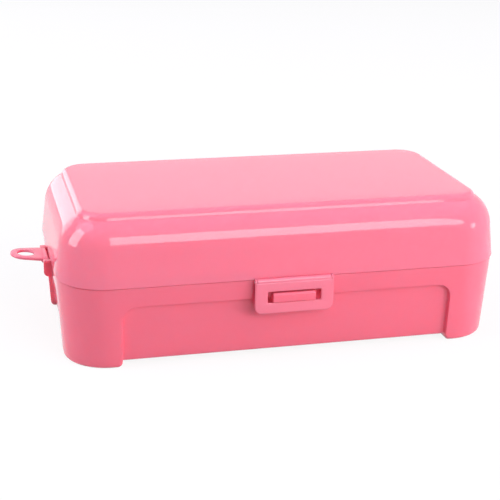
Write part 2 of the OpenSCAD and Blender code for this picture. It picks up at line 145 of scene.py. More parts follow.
class BobbinBoxFittingSizes(bpy.types.PropertyGroup):
    """Sizes of the latch, the hinges and the hang tab"""

    knuckle_radius: length("Knuckle", "Radius of the rear hinge knuckles", 2)
    knuckle_width: length("Knuckle width", "Width of the lid's knuckles", 14)
    ear_width: length("Ear width", "Width of each rear ear of the base", 3)
    hinge_offset: length("Hinge offset", "Distance of each hinge from the middle", 55)
    side_gap: length("Side gap", "Side gap between knuckles and ears", 0.2)
    toe_gap: length("Toe gap", "Gap between the open lid's stop toe and the base", 0.06)
    toe_rise: length("Toe rise", "Distance of the toe's face below the hinge axis", 0.4)
    toe_face: length("Toe face", "Height of the toe's face", 0.7)
    lid_opening: angle(
        "Opening", "Angle at which the toe stops the lid", JOINTS["lid_hinge"]["range_deg"][1],
    )
    hinge_pin: length("Hinge pin", "Radius of the rear hinge pins", 1)
    pin_room: length("Pin room", "Gap between a hinge pin and the knuckle round it", 0.05)
    barrel_edge: length("Barrel edge", "Radius round the ends of small barrels", 0.3)
    latch_thickness: length("Latch thickness", "Thickness of the latch plate", 1.3)
    latch_corner: length("Latch corner", "Radius of the latch's lower corners", 3)
    latch_edge: length("Latch edge", "Radius round the edges of the latch plate", 0.5)
    latch_proud: length("Latch proud", "Step from the latch's barrel out to its plate", 0.2)
    latch_drop: length("Latch drop", "Distance of the plate's top edge below the axis", 0.25)
    latch_ear: length("Latch ear", "Width of the lid's small ears", 0.9)
    latch_side_gap: length("Latch side gap", "Side gap between barrel and ears", 0.12)
    latch_pin: length("Latch pin", "Radius of the latch pin", 0.6)
    barrel_room: length("Barrel room", "Gap round the latch's barrel", 0.12)
    slot_half: length("Slot half width", "Half width of the slot in the latch", 11.9)
    slot_bottom: length("Slot bottom", "Height of the slot's lower edge", 26.9)
    slot_top: length("Slot top", "Height of the slot's upper edge", 32)
    slot_corner: length("Slot corner", "Radius of the slot's corners", 0.6)
    catch_half: length("Catch half width", "Half width of the catch", 9.5)
    catch_bottom: length("Catch bottom", "Height of the catch's underside", 27.2)
    catch_height: length("Catch height", "Height of the catch", 4)
    catch_chamfer: length("Catch chamfer", "Lead-in chamfer of the catch", 0.8)
    ring_radius: length("Ring", "Radius of the tab's ring", 6.9)
    ring_hole: length("Ring hole", "Radius of the hole in the ring", 3.7)
    ring_distance: length("Ring distance", "Distance of the hole from the tab's axis", 8.7)
    tab_tilt: angle("Tab tilt", "Angle at which the tab stands up from level", 5)
    tab_half: length("Tab half width", "Half width of the tab at its hinge", 7.8)
    tab_thickness: length("Tab thickness", "Thickness of the tab", 1.2)
    tab_barrel: length("Tab barrel", "Radius of the tab's barrel", 1.25)
    tab_neck: length("Tab neck", "Length of the tab's straight neck", 3.4)
    tab_pin: length("Tab pin", "Radius of the tab's pin", 0.65)
    tab_edge: length("Tab edge", "Radius round the edges of the tab", 0.4)
    cheek_width: length("Cheek width", "Thickness of the cheeks that carry the tab", 1.75)
    cheek_height: length("Cheek height", "Height of the cheeks", 7.9)
    cheek_corner: length("Cheek corner", "Radius of the cheeks' lower corner", 2.2)
    cheek_margin: length("Cheek margin", "Cheek left outside the tab's barrel", 0.35)
    flange_thickness: length("Flange", "Thickness of the flange on top of a cheek", 0.9)
    flange_reach: length("Flange reach", "Distance that the flange stands out", 1.4)
    fine_edge: length("Fine edge", "Radius along the edges of small fittings", 0.25)


class BobbinBoxColours(bpy.types.PropertyGroup):
    """Colours of the plastics, the pins and the stage, as sRGB hex values"""

    # The base's pink is the lid's plastic set a little darker: painted shade of the lower
    # shell, whose walls face slightly down under the lid's overhang
    base_pink: hexcode("Base", "Pink of the base shell", "#F26E85")
    lid_pink: hexcode("Lid", "Pink of the lid shell", "#F5768D")
    trim_pink: hexcode("Latch and tab", "Pink of the thin fittings", "#F0798F")
    tray_white: hexcode("Tray", "White of the bobbin tray", "#F1ECEC")
    pin_steel: hexcode("Pins", "Grey of the drawn steel pins", "#C9CBCE")
    floor: hexcode("Floor", "Pale colour of the floor", "#F7F6F6")
    floor_bounce: hexcode("Bounce", "Tone that the floor throws on the box", "#C9C4C4")


class BobbinBoxCamera(bpy.types.PropertyGroup):
    """Place and direction of the camera"""

    place: FloatVectorProperty(
        name="Place", description="Place of the camera, from the middle of the box",
        default=(-0.13856, -0.51522, 0.21699), subtype="XYZ", unit="LENGTH",
    )
    turn: angle("Turn", "Turn from +Y towards +X", 14.42)
    tilt: angle("Tilt", "Tilt below the horizon", 19.18)
    roll: angle("Roll", "Roll about the line of sight", 1.145)
    lens: FloatProperty(
        name="Lens", description="Focal length on a 36 mm wide sensor", unit="CAMERA",
        default=86.26,
    )


# ---------------- outlines


def unit(angle):
    """A unit step in the direction of an angle."""
    return Vector((math.cos(angle), math.sin(angle)))


def arc(centre, radius, start, end, steps):
    """Points along an arc, both ends included."""
    return [
        Vector(centre) + radius * unit(start + (end - start) * i / steps)
        for i in range(steps + 1)
    ]


def rounded(points, radii, steps=5, closed=False):
    """A line of straight pieces with its corners rounded by the given radii."""
    line = []
    count = len(points)
    for i, (point, radius) in enumerate(zip(points, radii)):
        here = Vector(point)
        if radius <= 0 or (not closed and i in (0, count - 1)):
            line.append(here)
            continue
        back = (Vector(points[i - 1]) - here).normalized()
        ahead = (Vector(points[(i + 1) % count]) - here).normalized()
        half = back.angle(ahead) / 2
        centre = here + (back + ahead).normalized() * radius / math.sin(half)
        first = here + back * radius / math.tan(half) - centre
        last = here + ahead * radius / math.tan(half) - centre
        swing = first.angle_signed(last)
        for k in range(steps + 1):
            line.append(centre + Matrix.Rotation(-swing * k / steps, 2) @ first)
    return line


def spaced(stops):
    """Coordinates from zero outwards: each stop is (end, spacing up to it)."""
    values = [0.0]
    for end, spacing in stops:
        start = values[-1]
        count = max(1, math.ceil((end - start) / spacing))
        values += [start + (end - start) * (i + 1) / count for i in range(count)]
    return values


def mirrored(values):
    """The same coordinates on both sides of zero."""
    return [-v for v in reversed(values[1:])] + values


def smooth_step(value):
    """An S-curve from 0 to 1."""
    t = min(max(value, 0.0), 1.0)
    return t * t * (3 - 2 * t)


# ---------------- meshes


def add_object(name, data):
    """Adds an object to the scene."""
    thing = bpy.data.objects.new(name, data)
    bpy.context.scene.collection.objects.link(thing)
    return thing


def mesh_data(mesh, name="part"):
    """Mesh data made from a bmesh, which is used up."""
    data = bpy.data.meshes.new(name)
    mesh.to_mesh(data)
    mesh.free()
    return data


def joined_up(mesh):
    """The same bmesh with its seams closed and its faces turned outwards."""
    bmesh.ops.remove_doubles(mesh, verts=mesh.verts, dist=CLOSE)
    bmesh.ops.recalc_face_normals(mesh, faces=mesh.faces)
    return mesh


def finish_mesh(mesh, name, slot, body, replaced=None):
    """Makes an object of a bmesh, shades it, and lets it ride on its body."""
    data = mesh_data(joined_up(mesh), name)
    data.shade_smooth()
    data.set_sharp_from_angle(angle=SHARP)
    data.materials.append(material_for(slot))
    piece = add_object(name, data)
    if replaced:
        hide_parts(replaced)
    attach(piece, body)
    return piece


def add_modifier(piece, kind, **settings):
    """Adds a modifier with its settings."""
    modifier = piece.modifiers.new(kind.title(), kind)
    for key, value in settings.items():
        setattr(modifier, key, value)


def soften(piece, width, segments=3):
    """Rounds the moulded edges of a piece, and keeps its flat faces flat."""
    add_modifier(
        piece, "BEVEL", width=width, segments=segments, limit_method="ANGLE",
        angle_limit=math.radians(35), use_clamp_overlap=True,
    )
    add_modifier(piece, "WEIGHTED_NORMAL", keep_sharp=True)


def round_box(core, xs, ys, section, shape, cap_height, turns):
    """A closed shell that carries a section round a box with rounded corners.

    core is half the rectangle of the corner centres, and xs and ys are the places of the
    mesh's lines across it. The section's points are (reach from that rectangle, height),
    from the outer middle to the inner middle, and both its ends reach 0. shape(place,
    facing, along, index) gives each point's (reach, height), cap_height(x, y, index) the
    height of the two flat middles, and turns the number of steps round each corner.
    """
    mesh = bmesh.new()
    sides = [
        [(Vector((x, -core.y)), Vector((0, -1)), x) for x in xs],
        [(Vector((core.x, y)), Vector((1, 0)), y) for y in ys],
        [(Vector((x, core.y)), Vector((0, 1)), -x) for x in reversed(xs)],
        [(Vector((-core.x, y)), Vector((-1, 0)), -y) for y in reversed(ys)],
    ]
    stations = []
    for k, side in enumerate(sides):
        stations += side
        centre = side[-1][0]
        for i in range(1, turns):
            facing = unit(math.pi / 2 * (k - 1 + i / turns))
            stations.append((centre, facing, None))

    last = len(section) - 1
    nx, ny = len(xs) - 1, len(ys) - 1

    def cap_ring(index):
        """Makes a flat middle; its outline repeats each corner for the steps round it."""
        cap = {
            (i, j): mesh.verts.new((x, y, cap_height(x, y, index)))
            for i, x in enumerate(xs)
            for j, y in enumerate(ys)
        }
        for i in range(nx):
            for j in range(ny):
                mesh.faces.new([cap[i, j], cap[i + 1, j], cap[i + 1, j + 1], cap[i, j + 1]])
        edges = (
            [(i, 0) for i in range(nx + 1)], [(nx, j) for j in range(ny + 1)],
            [(i, ny) for i in range(nx, -1, -1)], [(0, j) for j in range(ny, -1, -1)],
        )
        return [cap[key] for edge in edges for key in edge + edge[-1:] * (turns - 1)]

    rings = [cap_ring(0)]
    for index in range(1, last):
        ring = []
        for place, facing, along in stations:
            reach, height = shape(place, facing, along, index)
            spot = place + facing * reach
            ring.append(mesh.verts.new((spot.x, spot.y, height)))
        rings.append(ring)
    rings.append(cap_ring(last))

    count = len(stations)
    for near, far in zip(rings, rings[1:]):
        for i in range(count):
            j = (i + 1) % count
            corners = []
            for vertex in (near[i], near[j], far[j], far[i]):
                if vertex not in corners:
                    corners.append(vertex)
            if len(corners) > 2:
                mesh.faces.new(corners)
    mesh.transform(Matrix.Translation(MIDDLE))
    return mesh


def bar(outline, low, high, axes):
    """A closed prism: the outline's two coordinates run along the first two axes."""
    mesh = bmesh.new()
    first, second, third = axes

    def spot(point, depth):
        place = [0.0, 0.0, 0.0]
        place[first], place[second], place[third] = point[0], point[1], depth
        return mesh.verts.new(place)

    near = [spot(point, low) for point in outline]
    far = [spot(point, high) for point in outline]
    mesh.faces.new(near)
    mesh.faces.new(far)
    for i in range(len(outline)):
        j = (i + 1) % len(outline)
        mesh.faces.new([near[i], near[j], far[j], far[i]])
    return mesh


def turned(centre, axis, radius, half, edge, bore=0.0):
    """A round barrel along an axis, with rounded ends and, if bore is given, a hole."""
    mesh = bmesh.new()
    line = rounded(
        [(bore, -half), (radius, -half), (radius, half), (bore, half)],
        [0, edge, edge, 0], steps=4,
    )
    across = [i for i in range(3) if i != axis]
    rings = []
    for point in line:
        ring = []
        for k in range(ROUND_STEPS):
            turn = unit(2 * math.pi * k / ROUND_STEPS) * point[0]
            place = Vector(centre)
            place[across[0]] += turn.x
            place[across[1]] += turn.y
            place[axis] += point[1]
            ring.append(mesh.verts.new(place))
        rings.append(ring)
    pairs = list(zip(rings, rings[1:]))
    if bore:
        pairs.append((rings[-1], rings[0]))
    for near, far in pairs:
        for k in range(ROUND_STEPS):
            j = (k + 1) % ROUND_STEPS
            mesh.faces.new([near[k], near[j], far[j], far[k]])
    return mesh


def merged(*parts):
    """Several closed solids in one mesh."""
    whole = bmesh.new()
    for part in parts:
        data = mesh_data(part)
        whole.from_mesh(data)
        bpy.data.meshes.remove(data)
    return whole


def lug(outline, centre, width, radius, edge, bore):
    """A bored barrel along X, in one piece with the prism that holds it."""
    low, high = centre[0] - width / 2, centre[0] + width / 2
    return merged(
        bar(outline, low, high, ALONG_X), turned(centre, 0, radius, width / 2, edge, bore),
    )


def hollowed(solid, tool):
    """A closed solid with a closed tool cut out of it."""
    holders = [add_object("part", mesh_data(joined_up(mesh))) for mesh in (solid, tool)]
    add_modifier(
        holders[0], "BOOLEAN", operation="DIFFERENCE", object=holders[1], solver="MANIFOLD",
    )
    view = bpy.context.evaluated_depsgraph_get()
    data = bpy.data.meshes.new_from_object(holders[0].evaluated_get(view))
    cut = bmesh.new()
    cut.from_mesh(data)
    for old in [data] + [holder.data for holder in holders]:
        bpy.data.meshes.remove(old)
    return cut


def plate(outlines, thickness, edge, place):
    """A flat plate with rounded edges; the outlines after the first are its holes."""
    curve = bpy.data.curves.new("plate", "CURVE")
    curve.dimensions = "2D"
    curve.fill_mode = "BOTH"
    curve.extrude = thickness / 2 - edge
    curve.bevel_depth = edge
    curve.bevel_resolution = 3
    curve.offset = -edge
    for outline in outlines:
        spline = curve.splines.new("POLY")
        spline.points.add(len(outline) - 1)
        for point, target in zip(outline, spline.points):
            target.co = (point[0], point[1], 0, 1)
        spline.use_cyclic_u = True
    holder = bpy.data.objects.new("plate", curve)
    data = bpy.data.meshes.new_from_object(holder)
    mesh = bmesh.new()
    mesh.from_mesh(data)
    mesh.transform(place)
    bpy.data.objects.remove(holder)
    bpy.data.curves.remove(curve)
    bpy.data.meshes.remove(data)
    return mesh


# ---------------- materials


def linear(code):
    """The linear colour of an sRGB hex value."""
    channels = [int(code[i:i + 2], 16) / 255 for i in (1, 3, 5)]
    return [
        c / 12.92 if c <= 0.04045 else ((c + 0.055) / 1.055) ** 2.4 for c in channels
    ] + [1.0]


def new_tree(owner):
    """The empty node tree of a material or a world."""
    owner.use_nodes = True
    owner.node_tree.nodes.clear()
    return owner.node_tree


def add_node(tree, kind, links=None, sockets=None, **settings):
    """Adds a node, sets its properties and its sockets' values, and links its inputs."""
    node = tree.nodes.new(kind)
    for key, value in settings.items():
        setattr(node, key, value)
    for socket, value in (sockets or {}).items():
        node.inputs[socket].default_value = value
    for socket, source in (links or {}).items():
        tree.links.new(source, node.inputs[socket])
    return node


# Sizes of the patterns in millimetres: patches of slightly different pink, shrinkage waves,
# and the lines that the die leaves on wire, which are drawn coarser than the real ones
DRIFT_MM, SHRINK_MM, DIE_LINE_MM = 45, 30, 0.15


def moulded_plastic(name, code, roughness, grain_mm, grain_depth, sink_depth, drift, depth):
    """Injection-moulded polypropylene.

    The eye gets an even, slightly waxy colour that drifts a little where the melt cooled at
    different speeds, long soft waves in the reflections from shrinkage over 30 mm or so, and
    a very fine grain from the tool's steel. The grain is drawn coarser than the real one. A
    depth above 0 lets light into the wall, which keeps the shadows warm. Grain and sink
    depths are in millimetres.
    """
    material = bpy.data.materials.new(name)
    tree = new_tree(material)
    place = add_node(tree, "ShaderNodeTexCoord").outputs["Object"]
    patches, fine, wave = (
        add_node(
            tree, "ShaderNodeTexNoise", {"Vector": place},
            {"Scale": 1 / (size * MM), "Detail": detail},
        ).outputs["Fac"]
        for size, detail in ((DRIFT_MM, 2.0), (grain_mm, 3.0), (SHRINK_MM, 1.0))
    )
    pink = linear(code)
    pale = [min(1.0, c * (1 + drift)) for c in pink[:3]] + [1.0]
    deep = [c * (1 - drift) for c in pink[:3]] + [1.0]
    colour = add_node(
        tree, "ShaderNodeMix", {0: patches}, {6: deep, 7: pale}, data_type="RGBA",
    )
    # The noise runs from about 0.3 to 0.7, and the roughness follows it by a tenth
    gloss = add_node(tree, "ShaderNodeMapRange", {"Value": fine}, {
        "From Min": 0.3, "From Max": 0.7,
        "To Min": roughness * 0.9, "To Max": roughness * 1.1,
    })
    sink = add_node(
        tree, "ShaderNodeBump", {"Height": wave},
        {"Strength": 1.0, "Distance": sink_depth * MM},
    )
    grain = add_node(
        tree, "ShaderNodeBump", {"Height": fine, "Normal": sink.outputs["Normal"]},
        {"Strength": 1.0, "Distance": grain_depth * MM},
    )
    shader = add_node(
        tree, "ShaderNodeBsdfPrincipled",
        {
            "Base Color": colour.outputs[2],
            "Roughness": gloss.outputs["Result"],
            "Normal": grain.outputs["Normal"],
        },
        {
            "IOR": 1.5,
            "Subsurface Weight": depth,
            # Red goes furthest into a pink wall
            "Subsurface Radius": (1.0, 0.12, 0.15),
            "Subsurface Scale": 3 * MM,
        },
    )
    add_node(tree, "ShaderNodeOutputMaterial", {"Surface": shader.outputs["BSDF"]})
    return material


def drawn_steel(name, code):
    """Steel wire drawn through a die: bright, with hair-fine lines along the box's X."""
    material = bpy.data.materials.new(name)
    tree = new_tree(material)
    place = add_node(tree, "ShaderNodeTexCoord").outputs["Object"]
    stretched = add_node(
        tree, "ShaderNodeMapping", {"Vector": place}, {"Scale": (0.05, 1.0, 1.0)},
    )
    lines = add_node(
        tree, "ShaderNodeTexNoise", {"Vector": stretched.outputs["Vector"]},
        {"Scale": 1 / (DIE_LINE_MM * MM), "Detail": 2.0},
    )
    bump = add_node(
        tree, "ShaderNodeBump", {"Height": lines.outputs["Fac"]},
        {"Strength": 0.3, "Distance": 0.01 * MM},
    )
    gloss = add_node(
        tree, "ShaderNodeMapRange", {"Value": lines.outputs["Fac"]},
        {"To Min": 0.22, "To Max": 0.38},
    )
    shader = add_node(
        tree, "ShaderNodeBsdfPrincipled",
        {"Roughness": gloss.outputs["Result"], "Normal": bump.outputs["Normal"]},
        {"Base Color": linear(code), "Metallic": 1.0},
    )
    add_node(tree, "ShaderNodeOutputMaterial", {"Surface": shader.outputs["BSDF"]})
    return material


FINISHES = {
    "base_pink": (moulded_plastic, "Moulded polypropylene, satin base", dict(
        roughness=0.16, grain_mm=0.6, grain_depth=0.0005, sink_depth=0.03, drift=0.03,
        depth=0.5,
    )),
    "lid_pink": (moulded_plastic, "Moulded polypropylene, polished lid", dict(
        roughness=0.025, grain_mm=0.6, grain_depth=0.0003, sink_depth=0.02, drift=0.03,
        depth=0.5,
    )),
    "trim_pink": (moulded_plastic, "Moulded polypropylene, thin fittings", dict(
        roughness=0.06, grain_mm=0.5, grain_depth=0.0005, sink_depth=0.01, drift=0.02,
        depth=0.15,
    )),
    "tray_white": (moulded_plastic, "Moulded polypropylene, matt tray", dict(
        roughness=0.45, grain_mm=0.5, grain_depth=0.01, sink_depth=0.02, drift=0.02,
        depth=0.3,
    )),
    "pin_steel": (drawn_steel, "Drawn steel wire", {}),
}


def material_for(slot):
    """The material of a slot, made once."""
    make, name, finish = FINISHES[slot]
    code = getattr(bpy.context.scene.bobbin_colours, slot)
    return bpy.data.materials.get(name) or make(name, code, **finish)


def dress(node, slot):
    """Gives a CAD node its material and keeps its shape."""
    piece = frame["nodes"][node]
    material = material_for(slot)
    if not piece.material_slots:
        piece.data.materials.append(material)
    for holder in piece.material_slots:
        holder.material = material


# ---------------- shells


def core_half(shell):
    """Half the rectangle of the corner centres."""
    return Vector((
        shell.box_length / 2 - shell.corner_radius, shell.box_depth / 2 - shell.corner_radius,
    ))


def outline_depth(along, height, half, top, radius):
    """How far a point of a wall lies inside the outline of its recessed panel."""
    across, up = abs(along) - (half - radius), height - (top - radius)
    if across <= 0 and up <= 0:
        return radius - max(across, up)
    return radius - math.hypot(max(across, 0), max(up, 0))


class BOBBINBOX_OT_base(bpy.types.Operator):
    """Makes the base shell with its recessed panels, feet and lip"""

    bl_idname = "bobbinbox.base"
    bl_label = "Base Shell"

    def execute(self, context):
        shell = context.scene.bobbin_shell
        base = context.scene.bobbin_base
        core = core_half(shell)
        top = shell.seam_height - base.seam_gap
        slope = math.tan(base.lean)
        reach_top = shell.corner_radius - base.rim_overhang
        lip_top = top + shell.lip_height
        lip_out = shell.corner_radius - shell.rim_wall - shell.lip_gap
        inset = shell.wall / math.cos(base.lean)
        # Spacing of the mesh in a panel's corners and across its step, and how far the fine
        # lines go before the corner and past the step
        bend, step, before, past = 0.22 * MM, 0.08 * MM, 1 * MM, 0.05 * MM
        foot_blend = 0.6 * MM  # Over which the inside follows the feet
        foot_fade = 12 * MM  # Height at which the rise between the feet has died out
        lip_edge = 0.3 * MM

        def wall_reach(height):
            return reach_top - (top - height) * slope

        levels = [v for v in spaced([
            (base.panel_top - base.panel_corner - before, 3 * MM),
            (base.panel_top - base.panel_step, bend),
            (base.panel_top + past, step), (top - shell.edge, 3 * MM),
        ]) if v > base.foot_height + base.foot_edge]
        outer = rounded(
            [(0, 0), (wall_reach(0), 0), (wall_reach(levels[0]), levels[0])],
            [0, base.foot_edge, 0], steps=6,
        )
        outer += [Vector((wall_reach(z), z)) for z in levels[1:-1]]
        rim = rounded(
            [
                (wall_reach(levels[-2]), levels[-2]), (reach_top, top), (lip_out, top),
                (lip_out, lip_top), (wall_reach(lip_top) - inset, lip_top),
                (wall_reach(top) - inset, top),
            ],
            [0, shell.edge, 0, lip_edge, lip_edge, 0], steps=4,
        )[1:]
        inner_levels = [v + shell.wall for v in reversed(levels) if v + shell.wall < top]
        inner = [Vector((wall_reach(z) - inset, z)) for z in inner_levels]
        inner += rounded(
            [
                (wall_reach(inner_levels[-1]) - inset, inner_levels[-1]),
                (wall_reach(shell.wall) - inset, shell.wall), (0, shell.wall),
            ],
            [0, base.foot_edge, 0], steps=6,
        )[1:]
        section = outer + rim + inner
        turn = len(outer) + len(rim) // 2

        def foot_rise(excess, grow):
            if grow:
                return base.foot_height * (1 - smooth_step(excess / foot_blend))
            if excess <= 0:
                return base.foot_height
            if excess >= base.foot_edge:
                return 0.0
            return base.foot_edge - math.sqrt(2 * base.foot_edge * excess - excess ** 2)

        # grow is how far the panels and feet are grown: nothing outside, a wall inside
        def rise(x, y, grow):
            return max(
                foot_rise(abs(x) - base.panel_half_length - grow, grow),
                foot_rise(abs(y) - base.panel_half_end - grow, grow),
            )

        def shape(place, facing, along, index):
            reach, height = section[index]
            grow = shell.wall if index >= turn else 0.0
            spot = place + facing * reach
            fade = max(0.0, 1 - (height - grow) / foot_fade)
            lift = rise(spot.x, spot.y, grow) * fade
            height += lift
            reach += lift * slope
            if along is None:
                return reach, height
            half = base.panel_half_end if facing.x else base.panel_half_length
            inside = outline_depth(
                along, height, half + grow, base.panel_top + grow, base.panel_corner + grow,
            )
            depth = base.panel_depth * smooth_step(inside / base.panel_step)
            return max(0.0, reach - depth), height

        def cap_height(x, y, index):
            grow = shell.wall if index else 0.0
            return grow + rise(x, y, grow)

        def lines(half, end):
            return mirrored(spaced([
                (half - base.panel_corner - before, 4 * MM),
                (half - base.panel_step, bend),
                (half + past, step),
                (half + shell.wall + past, 0.2 * MM),
                (end, 1 * MM),
            ]))

        mesh = round_box(
            core, lines(base.panel_half_length, core.x), lines(base.panel_half_end, core.y),
            section, shape, cap_height, turns=16,
        )
        finish_mesh(mesh, "moulded_base", "base_pink", "base", replaced="base_shell")
        return {"FINISHED"}


class BOBBINBOX_OT_lid(bpy.types.Operator):
    """Makes the lid shell with its skirt, shoulder, crease and raised panel"""

    bl_idname = "bobbinbox.lid"
    bl_label = "Lid Shell"

    def execute(self, context):
        shell = context.scene.bobbin_shell
        base = context.scene.bobbin_base
        lid = context.scene.bobbin_lid
        parts = context.scene.bobbin_fittings
        core = core_half(shell)
        top = LID_HIGH.z
        foot = Vector((shell.corner_radius, shell.seam_height))
        crease = Vector((lid.crease_reach, top - lid.step_height))
        panel = Vector((crease.x - lid.step_height / math.tan(lid.step_slope), top))

        # The shoulder's arc touches the skirt and ends in the crease
        start = foot - lid.shoulder_radius * unit(lid.lean)
        chord = crease - start
        climb_line = unit(lid.lean + math.pi / 2)
        climb = chord.dot(climb_line)
        travel = climb - math.sqrt(
            climb ** 2 - chord.length_squared + lid.shoulder_radius ** 2
        )
        centre = start + travel * climb_line
        tilt = math.atan2(crease.y - centre.y, crease.x - centre.x)
        outer_arc, inner_arc = (
            arc(centre, lid.shoulder_radius - inset, tilt, lid.lean, steps=26)
            for inset in (0.0, shell.wall)
        )
        step_face = math.pi / 2 - lid.step_slope
        mitre = crease - unit((tilt + step_face) / 2) * shell.wall / math.cos(
            (tilt - step_face) / 2
        )
        under = Vector((panel.x - shell.wall * math.tan(lid.step_slope / 2), top - shell.wall))

        def skirt(height, inset):
            return Vector((
                foot.x - (height - foot.y) * math.tan(lid.lean) - inset / math.cos(lid.lean),
                height,
            ))

        rebate = shell.corner_radius - shell.rim_wall
        rebate_top = foot.y - base.seam_gap + shell.lip_height + shell.lip_headroom
        outer = rounded(
            [(0, top), panel, crease, outer_arc[1]],
            [0, lid.step_round, lid.crease_radius, 0], steps=8,
        )
        outer += outer_arc[2:]
        # Rings of the skirt by their height above the rim, closer where the ears stand
        rings = [h * MM for h in (12, 9, 6, 4, 3, 2, 1.6, 1.3, 1, 0.7)]
        outer += [skirt(foot.y + height, 0.0) for height in rings]
        rim = rounded(
            [
                skirt(foot.y + rings[-1], 0.0), foot, (rebate, foot.y), (rebate, rebate_top),
                skirt(rebate_top, shell.wall),
            ],
            [0, shell.edge, 0.2 * MM, 0, 0], steps=4,
        )[1:]
        inner = list(reversed(inner_arc)) + [mitre, under, Vector((0, under.y))]
        section = outer + rim + inner
        axis = LATCH_AXIS - MIDDLE
        pocket = parts.latch_thickness + parts.barrel_room
        barrel_half = (LATCH_HIGH.x - LATCH_LOW.x) / 2 - parts.latch_ear
        pocket_end = len(outer) + 6  # The pocket for the barrel ends in the rim's lower edge

        def shape(place, facing, along, index):
            reach, height = section[index]
            if index < pocket_end and facing.y == -1 and abs(along) <= barrel_half:
                rise = height - axis.z
                if abs(rise) < pocket:
                    hollow = axis.y + math.sqrt(pocket ** 2 - rise ** 2)
                    reach = min(reach, -(hollow + core.y))
            return reach, height

        def cap_height(x, y, index):
            return section[index][1]

        flat = 8 * MM  # Spacing of the mesh where nothing interrupts the lid
        side_lines = mirrored(spaced([
            (barrel_half - 0.01 * MM, flat), (barrel_half + 0.05 * MM, 1 * MM),
            (core.x, flat),
        ]))
        end_lines = mirrored(spaced([(core.y, flat)]))
        mesh = round_box(
            core, side_lines, end_lines, section, shape, cap_height, turns=24,
        )
        finish_mesh(mesh, "moulded_lid", "lid_pink", "lid", replaced="lid_shell")
        return {"FINISHED"}


# ---------------- fittings


class BOBBINBOX_OT_hinges(bpy.types.Operator):
    """Makes the rear ears of the base and the knuckles of the lid"""

    bl_idname = "bobbinbox.hinges"
    bl_label = "Rear Hinges"

    def execute(self, context):
        shell = context.scene.bobbin_shell
        parts = context.scene.bobbin_fittings
        radius = parts.knuckle_radius
        tangent = radius * math.cos(math.pi / 4)
        wall_y = MIDDLE.y + shell.box_depth / 2 - shell.rim_wall / 2
        toe_wall = MIDDLE.y + shell.box_depth / 2 - context.scene.bobbin_base.rim_overhang
        y, z = LID_AXIS.y, LID_AXIS.z
        drop = 5 * MM  # Height over which an ear leans back into the wall
        root = wall_y - 0.6 * MM
        overlap = 0.1 * MM

        toe_reach = y - toe_wall - parts.toe_gap
        opening = Matrix.Rotation(parts.lid_opening, 2)
        toe = [
            Vector((y, z)) + opening @ Vector(point)
            for point in (
                (-tangent / 2, 0), (-toe_reach, -parts.toe_rise),
                (-toe_reach, -parts.toe_rise - parts.toe_face), (-tangent, -tangent),
            )
        ]

        gusset = [
            (root, z - overlap), (y, z - overlap), (y + tangent, z - tangent),
            (y + tangent - drop, z - tangent - drop), (root, z - tangent - drop),
        ]
        web = [
            (wall_y, z + overlap), (y, z + overlap), (y + tangent, z + tangent),
            (wall_y, z + 2 * tangent + y - wall_y),
        ]
        half = parts.knuckle_width / 2
        ear_place = half + parts.side_gap + parts.ear_width / 2
        for side, name in ((-1, "left"), (1, "right")):
            middle = LID_AXIS.x + side * parts.hinge_offset
            ears = [
                lug(
                    gusset, (middle + step * ear_place, y, z), parts.ear_width, radius,
                    parts.fine_edge, parts.hinge_pin,
                )
                for step in (-1, 1)
            ]
            finish_mesh(merged(*ears), f"hinge_ears_{name}", "base_pink", "base")
            knuckle = merged(
                lug(
                    web, (middle, y, z), parts.knuckle_width, radius, parts.fine_edge,
                    parts.hinge_pin + parts.pin_room,
                ),
                bar(toe, middle - half, middle + half, ALONG_X),
            )
            finish_mesh(knuckle, f"hinge_knuckle_{name}", "lid_pink", "lid")
            dress(f"hinge_pin_{name}", "pin_steel")
        return {"FINISHED"}


